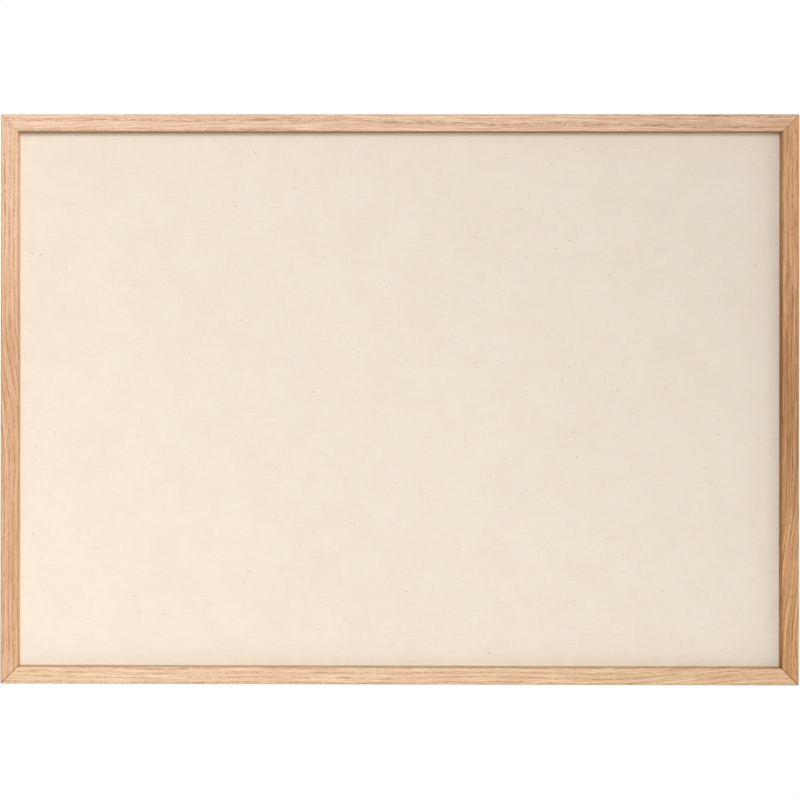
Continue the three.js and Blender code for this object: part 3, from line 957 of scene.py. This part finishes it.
    def slots(self) -> Piece:
        """Make the cutter for the slots that the corner nails are driven into.

        Returns:
            All the corner nails in one piece, a little larger and open towards the rear.
        """
        made = bmesh.new()
        for corner in CORNERS:
            made.from_mesh(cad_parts[f"wedge_nail_{corner}"].data)
        bmesh.ops.remove_doubles(made, verts=made.verts, dist=SAME_PLACE)
        made.normal_update()
        shifts = [(vert, vert.normal.copy()) for vert in made.verts]
        for vert, normal in shifts:
            vert.co += normal * self.slot_gap
            if normal.y > 0:
                vert.co.y = self.rear + self.front_ease
        return new_object("nail_slots", mesh_of(made))

    def build(self) -> list[Piece]:
        """Make the four rails in place of their solids, and the glue between them.

        Returns:
            The rails and the glue.
        """
        width, height = self.high.x - self.low.x, self.high.z - self.low.z
        sides = {
            "top_rail": (width, height / 2, 0.0, self.top_joint),
            "right_stile": (height, width / 2, math.pi / 2, self.right_joint),
            "bottom_rail": (width, height / 2, math.pi, self.bottom_joint),
            "left_stile": (height, width / 2, -math.pi / 2, self.left_joint),
        }
        shared = {
            "Profile": self.profile(),
            "Slots": self.slots(),
            "Rear": self.rear,
            "Middle": self.middle,
            "Corner Ease": self.corner_ease,
            "Ease Steps": self.ease_steps,
            "Ring Step": self.ring_step,
            "Closest": self.closest,
        }
        tree = self.tree()
        rails = []
        for node, (length, reach, turn, joint) in sides.items():
            own = {"Length": length, "Reach": reach, "Turn": turn, "Mitre Gap": joint}
            rail = tree.grow(f"oak_{node}", {**shared, **own, "Material": OAKS[node].material()})
            rails.append(enrol(rail, "oak", node))
        remove(shared["Profile"], shared["Slots"])
        return [*rails, self.glue()]

    def glue(self) -> Piece:
        """Fill the mitres with glue, a little below the faces of the rails.

        Returns:
            The four glue lines in one piece.
        """
        sunk, ease = self.glue_setback, self.front_ease
        outer = self.glue_tip + self.corner_ease * (1 - math.sqrt(0.5))
        section = [
            (outer, sunk),
            (self.wall_width - sunk, sunk),
            (self.wall_width - sunk, self.shoulder + sunk),
            (self.face_width - sunk, self.shoulder + sunk),
            (self.face_width - sunk, self.depth - sunk),
            *rounding((outer + ease, self.depth - sunk - ease), ease, 90.0, 180.0, self.glue_steps),
        ]
        made = bmesh.new()
        for side, rise in ((-1, -1), (-1, 1), (1, -1), (1, 1)):
            level = self.middle + rise * (self.high.z - self.middle)
            corner = Vector((side * self.high.x, self.rear, level))
            across = Vector((side, 0.0, -rise)).normalized() * (self.glue_width / 2)
            inward = [corner + Vector((-side * a, -forward, -rise * a)) for a, forward in section]
            loops = [[made.verts.new(point + across * way) for point in inward] for way in (-1, 1)]
            for first in range(len(section)):
                pairs = [(loop[first - 1], loop[first]) for loop in loops]
                made.faces.new((*pairs[0], *reversed(pairs[1])))
            for loop in loops:
                made.faces.new(loop)
        piece = new_object("glue_lines", mesh_of(made))
        dress(piece, GLUE.material())
        return enrol(piece, "oak")


# Panel


@dataclass
class PinPanel:
    """Canvas drawn over a softboard core, with a hardboard back behind it."""

    sight_inset: float = 5 * MM  # wall of the rabbet to the sight edge of the oak
    clearance: float = 1 * MM  # wall of the rabbet to the panel
    field_rise: float = 0.4 * MM
    field_inset: float = 1 * MM
    field_slope: float = 3 * MM
    slope_steps: int = 4
    fold_radius: float = 0.8 * MM
    fold_steps: int = 4
    cloth: float = 0.5 * MM
    hem: float = 28 * MM
    hem_rings: tuple[float, ...] = (0.33, 0.67, 1.0)  # shares of the hem
    weave_step: float = 5 * MM
    sway: float = 0.05 * MM
    board_ease: float = 0.4 * MM
    flecks_per_m2: float = 420.0
    slubs_per_m2: float = 900.0

    def __post_init__(self) -> None:
        """Read the panel's box from the solid of the canvas."""
        self.low, self.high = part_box("canvas_cover")
        self.half_width = (self.high.x - self.low.x) / 2
        self.half_height = (self.high.z - self.low.z) / 2
        self.middle = (self.low.z + self.high.z) / 2
        self.margin = self.low.y + self.field_rise
        self.foot_inset = self.sight_inset - self.clearance + self.field_inset

    def stations(self, half: float) -> list[float]:
        """Give the places of the grid's lines across the panel, closer where the canvas rises.

        Args:
            half: Half of the panel's width or height.

        Returns:
            Places from one edge to the other.
        """
        foot = half - self.foot_inset
        crest = foot - self.field_slope
        edge = [half - self.fold_radius, foot + self.field_inset, foot]
        slope = [foot - self.field_slope * step / self.slope_steps for step in range(1, self.slope_steps)]
        count = round(crest / self.weave_step)
        inner = [crest * (1 - step / count) for step in range(count)]
        right = edge + slope + inner
        return [-place for place in right] + [0.0] + right[::-1]

    def height(self, x: float, z: float) -> float:
        """Give the place along Y of the canvas at a point of the panel, with its slight sway.

        Args:
            x: The point's place across, from the panel's middle.
            z: The point's place upwards, from the panel's middle.

        Returns:
            The place along Y.
        """
        inset = min(self.half_width - abs(x), self.half_height - abs(z)) - self.foot_inset
        share = min(max(inset / self.field_slope, 0.0), 1.0)
        rise = self.field_rise * share * share * (3 - 2 * share)
        # Slow waves, in radians to a metre
        wave = math.sin(x * 31.0 + 1.3) * math.sin(z * 23.0 + 0.4) + 0.5 * math.sin(x * 57.0 - z * 71.0)
        return self.margin - rise + self.sway * share * wave

    def canvas(self) -> Piece:
        """Make the stretched cloth: its front, its turned edges and its hem.

        Returns:
            The cloth, one closed sheet.
        """
        made = bmesh.new()
        columns, rows = self.stations(self.half_width), self.stations(self.half_height)
        grid = [[made.verts.new((x, self.height(x, z), z + self.middle)) for x in columns] for z in rows]
        for lower, upper in zip(grid, grid[1:]):
            for left in range(len(columns) - 1):
                made.faces.new((lower[left], lower[left + 1], upper[left + 1], upper[left]))
        rim = grid[0] + [row[-1] for row in grid[1:-1]] + grid[-1][::-1] + [row[0] for row in grid[-2:0:-1]]
        edge = [vert.co.copy() for vert in rim]
        for outset, depth in self.wrap():
            loop = [made.verts.new(self.offset(point, outset, depth)) for point in edge]
            for step in range(len(rim)):
                following = (step + 1) % len(rim)
                made.faces.new((rim[step], rim[following], loop[following], loop[step]))
            rim = loop
        cloth = new_object("stretched_canvas", mesh_of(made))
        cloth.data.shade_smooth()
        dress(cloth, CANVAS.material())
        thicken = cloth.modifiers.new("thickness", "SOLIDIFY")
        thicken.thickness = self.cloth
        thicken.offset = -1.0
        return cloth

    def wrap(self) -> list[Pair]:
        """List how far out of the flat front, and how deep, the cloth lies as it turns round the core.

        Returns:
            Outset from the flat front's edge and place along Y, from the front to the hem's end.
        """
        radius, steps = self.fold_radius, self.fold_steps
        front = rounding((0.0, self.margin + radius), radius, -90.0, 0.0, steps)
        back = rounding((0.0, self.high.y - radius), radius, 0.0, 90.0, steps)
        hem = [(-self.hem * share, self.high.y) for share in self.hem_rings]
        return front[1:] + back + hem

    def offset(self, point: Vector, outset: float, depth: float) -> Point:
        """Move a point out from the flat front's edge, with mitred corners, and back to a depth.

        Args:
            point: The point on the edge.
            outset: How far out it moves.
            depth: Its new place along Y.

        Returns:
            The new point.
        """
        flat_x, flat_z = self.half_width - self.fold_radius, self.half_height - self.fold_radius
        share_x, share_z = point.x / flat_x, (point.z - self.middle) / flat_z
        return (share_x * (flat_x + outset), depth, share_z * (flat_z + outset) + self.middle)

    def scatter_tree(self) -> Tree:
        """Build the tree that strews flat lumps over a field.

        Returns:
            The tree, with inputs for the number and the sizes of the lumps.
        """
        inputs = {
            "Field": "Geometry",
            "Density": "Float",
            "Seed": "Int",
            "Smallest": "Vector",
            "Largest": "Vector",
            "Turn Step": "Float",
            "Material": "Material",
        }
        t = Tree("strewn_lumps", inputs)
        seed = {"Seed": t.given["Seed"]}
        strewn = {0: t.given["Field"], "Density": t.given["Density"]}
        points = t.out("GeometryNodeDistributePointsOnFaces", strewn | seed)
        lump = t.out("GeometryNodeMeshIcoSphere", {"Radius": 1.0, "Subdivisions": 2})
        sizes = {0: t.given["Smallest"], 1: t.given["Largest"]}
        size = t.out("FunctionNodeRandomValue", sizes | seed, data_type="FLOAT_VECTOR")
        draw = t.add("FunctionNodeRandomValue", {2: 0.0, 3: math.tau} | seed).outputs[1]
        snapped = t.math("SNAP", draw, t.given["Turn Step"])
        spin = t.out("FunctionNodeAxisAngleToRotation", {0: (0.0, 1.0, 0.0), 1: snapped})
        lumps = {0: points, "Instance": lump, "Rotation": spin, "Scale": size}
        t.close(t.out("GeometryNodeInstanceOnPoints", lumps), degrees=180.0)
        return t

    def field_mesh(self) -> Mesh:
        """Make the flat rectangle of canvas in view, for things to be strewn on.

        Returns:
            The rectangle.
        """
        inset = self.foot_inset + self.field_slope
        x, z = self.half_width - inset, self.half_height - inset
        made = bmesh.new()
        corners = [(-x, -z), (x, -z), (x, z), (-x, z)]
        made.faces.new([made.verts.new((a, self.low.y, b + self.middle)) for a, b in corners])
        return mesh_of(made)

    def specks(self) -> list[Piece]:
        """Strew seed flecks and thick yarn ends over the canvas.

        Returns:
            The flecks and the slubs.
        """
        flecks = {
            "Density": self.flecks_per_m2,
            "Seed": 11,
            "Smallest": (0.22 * MM, 0.04 * MM, 0.22 * MM),
            "Largest": (0.60 * MM, 0.08 * MM, 0.40 * MM),
            "Turn Step": math.radians(1),
            "Material": FLECK.material(),
        }
        slubs = {
            "Density": self.slubs_per_m2,
            "Seed": 29,
            "Smallest": (1.2 * MM, 0.03 * MM, 0.20 * MM),
            "Largest": (5.0 * MM, 0.06 * MM, 0.34 * MM),
            "Turn Step": math.pi / 2,
            "Material": SLUB.material(),
        }
        tree = self.scatter_tree()
        strewn = {"seed_flecks": flecks, "slub_yarns": slubs}
        return [tree.grow(name, values, self.field_mesh()) for name, values in strewn.items()]

    def build(self) -> list[Piece]:
        """Returns:
            The cloth, what is on it, and the back.
        """
        cloth = self.canvas()
        specks = self.specks()
        enrol(cloth, "canvas", "canvas_cover")
        for speck in specks:
            enrol(speck, "canvas")

        back = softened_copy("back_panel", "hardboard_back", self.board_ease)
        dress(back, HARDBOARD.material())
        dress(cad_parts["softboard_core"], SOFTBOARD.material())
        return [cloth, *specks, enrol(back, "hardboard", "back_panel")]


# Hardware on the back


@dataclass(frozen=True)
class Fastener:
    """A turned screw or nail: a pointed shank under a domed head, with its seat at the origin."""

    length: float
    point: float  # length of the tapered tip
    shank: float  # radius
    head: float  # radius
    rise: float  # height of the head
    rim: float  # height of the head's straight edge
    sides: int
    crown_steps: int = 6

    def mesh(self) -> Mesh:
        """Turn the fastener.

        Returns:
            The closed mesh.
        """
        crown = rounding((0.0, 0.0), 1.0, 0.0, 90.0, self.crown_steps)
        profile = [
            (0.0, -self.length),
            (self.shank, self.point - self.length),
            (self.shank, 0.0),
            (self.head, 0.0),
            *((x * self.head, self.rim + y * (self.rise - self.rim)) for x, y in crown),
        ]
        return turned(profile, self.sides)


@dataclass
class BackHardware:
    """Turn buttons, screws, hangers, nails and bumpers, all on the rear faces of the rails."""

    button_width: float = 8.8 * MM
    button_tip: float = 6.6 * MM
    button_reach: float = 15 * MM
    button_hole: float = 1.8 * MM
    button_edge: float = 0.22 * MM
    arc_steps: int = 14
    screw: Fastener = Fastener(
        length=12 * MM, point=3 * MM, shank=1.5 * MM, head=2.9 * MM, rise=1.5 * MM, rim=0.4 * MM, sides=28
    )
    screw_lift: float = 0.1 * MM
    recess_length: float = 3.2 * MM
    recess_width: float = 0.8 * MM
    recess_depth: float = 0.9 * MM
    nail: Fastener = Fastener(
        length=10 * MM, point=2 * MM, shank=0.7 * MM, head=1.8 * MM, rise=0.8 * MM, rim=0.3 * MM, sides=24
    )
    bumper_ease: float = 1.3 * MM
    bumper_foot: float = 0.2 * MM
    bumper_steps: int = 8
    bumper_sides: int = 40
    hanger_edge: float = 0.16 * MM
    turn_seed: int = 5  # for how the fasteners are turned

    def button(self, place: str, zinc: Material) -> Piece:
        """Make one turn button round its screw, pointing over the panel.

        Args:
            place: Where on the frame it sits.
            zinc: Its finish.

        Returns:
            The button.
        """
        low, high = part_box(f"turn_button_{place}")
        pivot = middle_of(f"button_screw_{place}")
        aim = (low + high) / 2 - pivot
        turn = math.atan2(aim.x, -aim.z)
        tip_radius, pivot_radius = self.button_tip / 2, self.button_width / 2
        tip_centre = tip_radius - self.button_reach
        lean = math.degrees(math.asin((pivot_radius - tip_radius) / -tip_centre))
        top = rounding((0.0, 0.0), pivot_radius, -lean, 180.0 + lean, self.arc_steps)
        tip = rounding((0.0, tip_centre), tip_radius, 180.0 + lean, 360.0 - lean, self.arc_steps)
        outline = top + tip
        hole = rounding((0.0, 0.0), self.button_hole, 0.0, 360.0, len(outline))[:-1]

        made = bmesh.new()
        rings = [[made.verts.new((x, low.y, z)) for x, z in ring] for ring in (outline, hole)]
        edges = [made.edges.new((ring[i - 1], ring[i])) for ring in rings for i in range(len(ring))]
        face = bmesh.ops.bridge_loops(made, edges=edges)["faces"]
        lifted = bmesh.ops.extrude_face_region(made, geom=face)["geom"]
        moved = [part for part in lifted if isinstance(part, bmesh.types.BMVert)]
        bmesh.ops.translate(made, verts=moved, vec=(0.0, high.y - low.y, 0.0))
        bmesh.ops.recalc_face_normals(made, faces=made.faces)
        sharp = sharp_edges(made, degrees=60.0)
        bmesh.ops.bevel(made, geom=sharp, offset=self.button_edge, segments=2, profile=0.5, affect="EDGES")
        swing = Matrix.Translation((pivot.x, 0.0, pivot.z)) @ Matrix.Rotation(-turn, 4, "Y")
        bmesh.ops.transform(made, matrix=swing, verts=made.verts)
        piece = new_object(f"button_plate_{place}", mesh_of(made))
        smooth_by_angle(piece)
        dress(piece, zinc)
        return enrol(piece, "zinc", f"turn_button_{place}", body=f"button_{place}")

    def driven_screw(self) -> Piece:
        """Make one pan-head screw with a cross recess, its seat at the origin.

        Returns:
            The screw.
        """
        blank = new_object("screw", self.screw.mesh())
        made = bmesh.new()
        size = Matrix.Diagonal((self.recess_length, self.recess_depth * 2, self.recess_width, 1.0))
        lift = Matrix.Translation((0.0, self.screw.rise, 0.0))
        for turn in (0.0, math.pi / 2):
            bmesh.ops.create_cube(made, size=1.0, matrix=lift @ Matrix.Rotation(turn, 4, "Y") @ size)
        cross = new_object("recess", mesh_of(made))
        cut = blank.modifiers.new("recess", "BOOLEAN")
        cut.object = cross
        cut.use_self = True
        finished = new_object("driven_screw", evaluated_mesh(blank))
        remove(blank, cross)
        return finished

    def bumper(self) -> Piece:
        """Make one rubber bumper with a rounded front, its seat at the origin.

        Returns:
            The bumper.
        """
        low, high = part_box("bumper_left")
        radius, rise = (high.x - low.x) / 2, high.y - low.y
        ease, foot = self.bumper_ease, self.bumper_foot
        shape = [
            (0.0, 0.0),
            (radius - foot, 0.0),
            (radius, foot),
            *rounding((radius - ease, rise - ease), ease, 0.0, 90.0, self.bumper_steps),
            (0.0, rise),
        ]
        return new_object("bumper", turned(shape, self.bumper_sides))

    def tree(self) -> Tree:
        """Build the tree that sets one fastener on every seat, each turned by chance.

        Returns:
            The tree, with inputs for the seats, the fastener and the largest turn.
        """
        inputs = {
            "Seats": "Geometry",
            "Fastener": "Object",
            "Turn": "Float",
            "Seed": "Int",
            "Material": "Material",
        }
        t = Tree("seated_fasteners", inputs)
        shape = t.add("GeometryNodeObjectInfo", {"Object": t.given["Fastener"]}).outputs["Geometry"]
        draw = {2: 0.0, 3: t.given["Turn"], "Seed": t.given["Seed"]}
        angle = t.add("FunctionNodeRandomValue", draw).outputs[1]
        spin = t.out("FunctionNodeAxisAngleToRotation", {0: (0.0, 1.0, 0.0), 1: angle})
        seated = {0: t.given["Seats"], "Instance": shape, "Rotation": spin}
        t.close(t.out("GeometryNodeInstanceOnPoints", seated), degrees=40.0)
        return t

    def seat_points(self, seats: dict[str, float]) -> Mesh:
        """Make the points that fasteners are set on.

        Args:
            seats: Place along Y of the seat for each node that a fastener stands for.

        Returns:
            A mesh of loose points.
        """
        middles = [middle_of(node) for node in seats]
        points = bpy.data.meshes.new("seats")
        points.from_pydata([(m.x, y, m.z) for m, y in zip(middles, seats.values())], [], [])
        return points

    def hanger(self, side: str, zinc: Material) -> Piece:
        """Make one sawtooth hanger with its cut edges softened.

        Args:
            side: Left or right.
            zinc: Its finish.

        Returns:
            The hanger.
        """
        piece = softened_copy(f"hanger_{side}", f"sawtooth_{side}", self.hanger_edge, segments=2)
        dress(piece, zinc)
        return enrol(piece, "zinc", f"hanger_{side}")

    def build(self) -> list[Piece]:
        """Make all the hardware and dress the solids that stay.

        Returns:
            The new pieces.
        """
        zinc, rubber = ZINC.material(), RUBBER.material()
        for name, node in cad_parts.items():
            if name.startswith(("staple", "wedge_nail")):
                dress(node, zinc)
        pieces = [self.button(place, zinc) for place in BUTTON_PLACES]
        pieces += [self.hanger(side, zinc) for side in SIDES]

        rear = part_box("turn_button_top_middle")[1].y + self.screw_lift
        screws = {f"button_screw_{place}": rear for place in BUTTON_PLACES}
        nails = [f"hanger_{side}_nail_{number}" for side in SIDES for number in (1, 2)]
        nail_seats = {node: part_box(node)[1].y - self.nail.rise for node in nails}
        nail = new_object("driven_nail", self.nail.mesh())
        bumpers = {f"bumper_{side}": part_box(f"bumper_{side}")[0].y for side in SIDES}
        sets = {
            "button_screws": (self.driven_screw(), screws, zinc, "zinc"),
            "hanger_nails": (nail, nail_seats, zinc, "zinc"),
            "wall_bumpers": (self.bumper(), bumpers, rubber, "rubber"),
        }
        tree = self.tree()
        for name, (shape, seats, material, slot) in sets.items():
            values = {"Fastener": shape, "Turn": math.tau, "Seed": self.turn_seed, "Material": material}
            piece = tree.grow(name, values, self.seat_points(seats))
            remove(shape)
            pieces.append(enrol(piece, slot, *seats))
        return pieces


# Studio


@dataclass(frozen=True)
class Lamp:
    """A square soft lamp, with places counted from the middle of the board's front."""

    name: str
    place: Point
    size: float
    watts: float
    aim: Point = (0.0, 0.0, 0.0)
    tint: Colour = (1.0, 1.0, 1.0)
    spread: float = 180.0  # degrees that the beam fills

    def hang(self, middle: Vector) -> None:
        """Hang the lamp.

        Args:
            middle: Middle of the board's front.
        """
        data = bpy.data.lights.new(self.name, "AREA")
        data.shape = "SQUARE"
        data.size = self.size
        data.energy = self.watts
        data.color = self.tint
        data.spread = math.radians(self.spread)
        lamp = new_object(self.name, data)
        lamp.location = middle + Vector(self.place)
        beam = Vector(self.aim) - Vector(self.place)
        lamp.rotation_euler = beam.to_track_quat("-Z", "Y").to_euler()
        lamp.visible_camera = False


LAMPS = (
    Lamp(
        "front", (0.0, -3.0, 0.90), 1.5, 44.2,
        aim=(-2.35, 0.0, -1.45), tint=(0.97, 0.985, 1.0), spread=118.0,
    ),
    Lamp("fill", (1.95, -1.13, 0.20), 1.0, 7.0),
    Lamp("side", (2.40, -0.34, 0.20), 0.8, 10.0),
    Lamp("rear_left", (-1.50, 1.30, 0.90), 1.2, 20.0),
    Lamp("rear_right", (1.50, 1.50, -0.10), 1.2, 20.0),
)


@dataclass
class Studio:
    """Camera, soft light and a pale floor."""

    lens: float = 52.0
    sensor: float = 36.0
    distance: float = 1.0123
    aside: float = -12 * MM  # camera from the board's middle
    above: float = 16 * MM
    picture_rise: float = 0.5 * MM  # middle of the board above the middle of the picture
    picture_aside: float = -0.7 * MM  # middle of the board to the right of the middle of the picture
    yaw: float = 0.31  # degrees
    roll: float = -0.065
    clip: Pair = (0.05, 50.0)
    floor_drop: float = 0.9
    floor_radius: float = 1.8
    floor_sides: int = 96
    floor_shade: float = 0.9
    floor_fade: Pair = (0.35, 0.95)  # shares of the radius
    ambient: float = 0.35
    ambient_tint: Colour = (1.0, 0.98, 0.96)

    def camera(self, oak: OakFrame) -> None:
        """Stand the camera in front of the board, a little left of its middle.

        Args:
            oak: The frame that fills the picture.
        """
        data = bpy.data.cameras.new("camera")
        data.lens, data.sensor_width = self.lens, self.sensor
        data.clip_start, data.clip_end = self.clip
        across = self.distance * self.sensor / self.lens
        swung = self.distance * math.tan(math.radians(self.yaw))
        data.shift_x = (swung - self.aside - self.picture_aside) / across
        data.shift_y = (-self.above - self.picture_rise) / across
        camera = new_object("camera", data)
        camera.location = (self.aside, oak.low.y - self.distance, oak.middle + self.above)
        camera.rotation_euler = (math.pi / 2, math.radians(self.roll), math.radians(self.yaw))
        bpy.context.scene.camera = camera

    def world(self) -> None:
        """Light the room evenly, and show white behind the board and in what reflects."""
        world = bpy.data.worlds.new("studio")
        bpy.context.scene.world = world
        world.use_nodes = True
        w = Wiring(world.node_tree)
        path = w.add("ShaderNodeLightPath").outputs
        seen = w.largest(path["Is Camera Ray"], path["Is Glossy Ray"], path["Is Transmission Ray"])
        room = w.out("ShaderNodeBackground", {"Color": (*self.ambient_tint, 1.0), "Strength": self.ambient})
        white = w.out("ShaderNodeBackground", {"Color": (1.0, 1.0, 1.0, 1.0), "Strength": 1.0})
        both = w.out("ShaderNodeMixShader", {0: seen, 1: room, 2: white})
        w.feed(world.node_tree.nodes["World Output"].inputs["Surface"], both)

    def floor(self, oak: OakFrame) -> None:
        """Lay a pale round floor below the board, fading to white at its rim.

        Args:
            oak: The frame that hangs over it.
        """
        made = bmesh.new()
        level = Matrix.Translation((0.0, 0.0, oak.low.z - self.floor_drop))
        circle = {"radius": self.floor_radius, "segments": self.floor_sides, "matrix": level}
        bmesh.ops.create_circle(made, cap_ends=True, **circle)
        floor = new_object("floor", mesh_of(made))
        s = Surface("floor")
        s.set(base_color=(self.floor_shade, self.floor_shade, self.floor_shade, 1.0), roughness=0.9)
        spread = s.stretched(s.add("ShaderNodeTexCoord").outputs["Object"], (1.0, 1.0, 0.0))
        radius = s.add("ShaderNodeVectorMath", {0: spread}, operation="LENGTH").outputs["Value"]
        path = s.add("ShaderNodeLightPath").outputs
        seen = s.largest(path["Is Camera Ray"], path["Is Glossy Ray"])
        faded = s.span(radius, *(share * self.floor_radius for share in self.floor_fade))
        white = s.out("ShaderNodeEmission", {"Strength": 1.0})
        inputs = {0: s.math("MULTIPLY", faded, seen), 1: s.shader.outputs[0], 2: white}
        s.feed(s.tree.nodes["Material Output"].inputs["Surface"], s.out("ShaderNodeMixShader", inputs))
        dress(floor, s.material)

    def build(self, oak: OakFrame) -> None:
        """Set up the whole studio round the board.

        Args:
            oak: The frame to look at.
        """
        self.camera(oak)
        self.world()
        self.floor(oak)
        for lamp in LAMPS:
            lamp.hang(Vector((0.0, oak.low.y, oak.middle)))
        bpy.context.scene.view_settings.view_transform = "Standard"


def main() -> None:
    """Build every piece in order and report it."""
    logging.basicConfig(level=logging.INFO, format="%(name)s: %(message)s")
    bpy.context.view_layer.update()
    oak = OakFrame()
    Studio().build(oak)
    pieces = [*oak.build(), *PinPanel().build(), *BackHardware().build()]
    for piece in pieces:
        LOG.info("%s: %d faces", piece.name, len(piece.data.polygons))


if __name__ == "__main__":
    main()
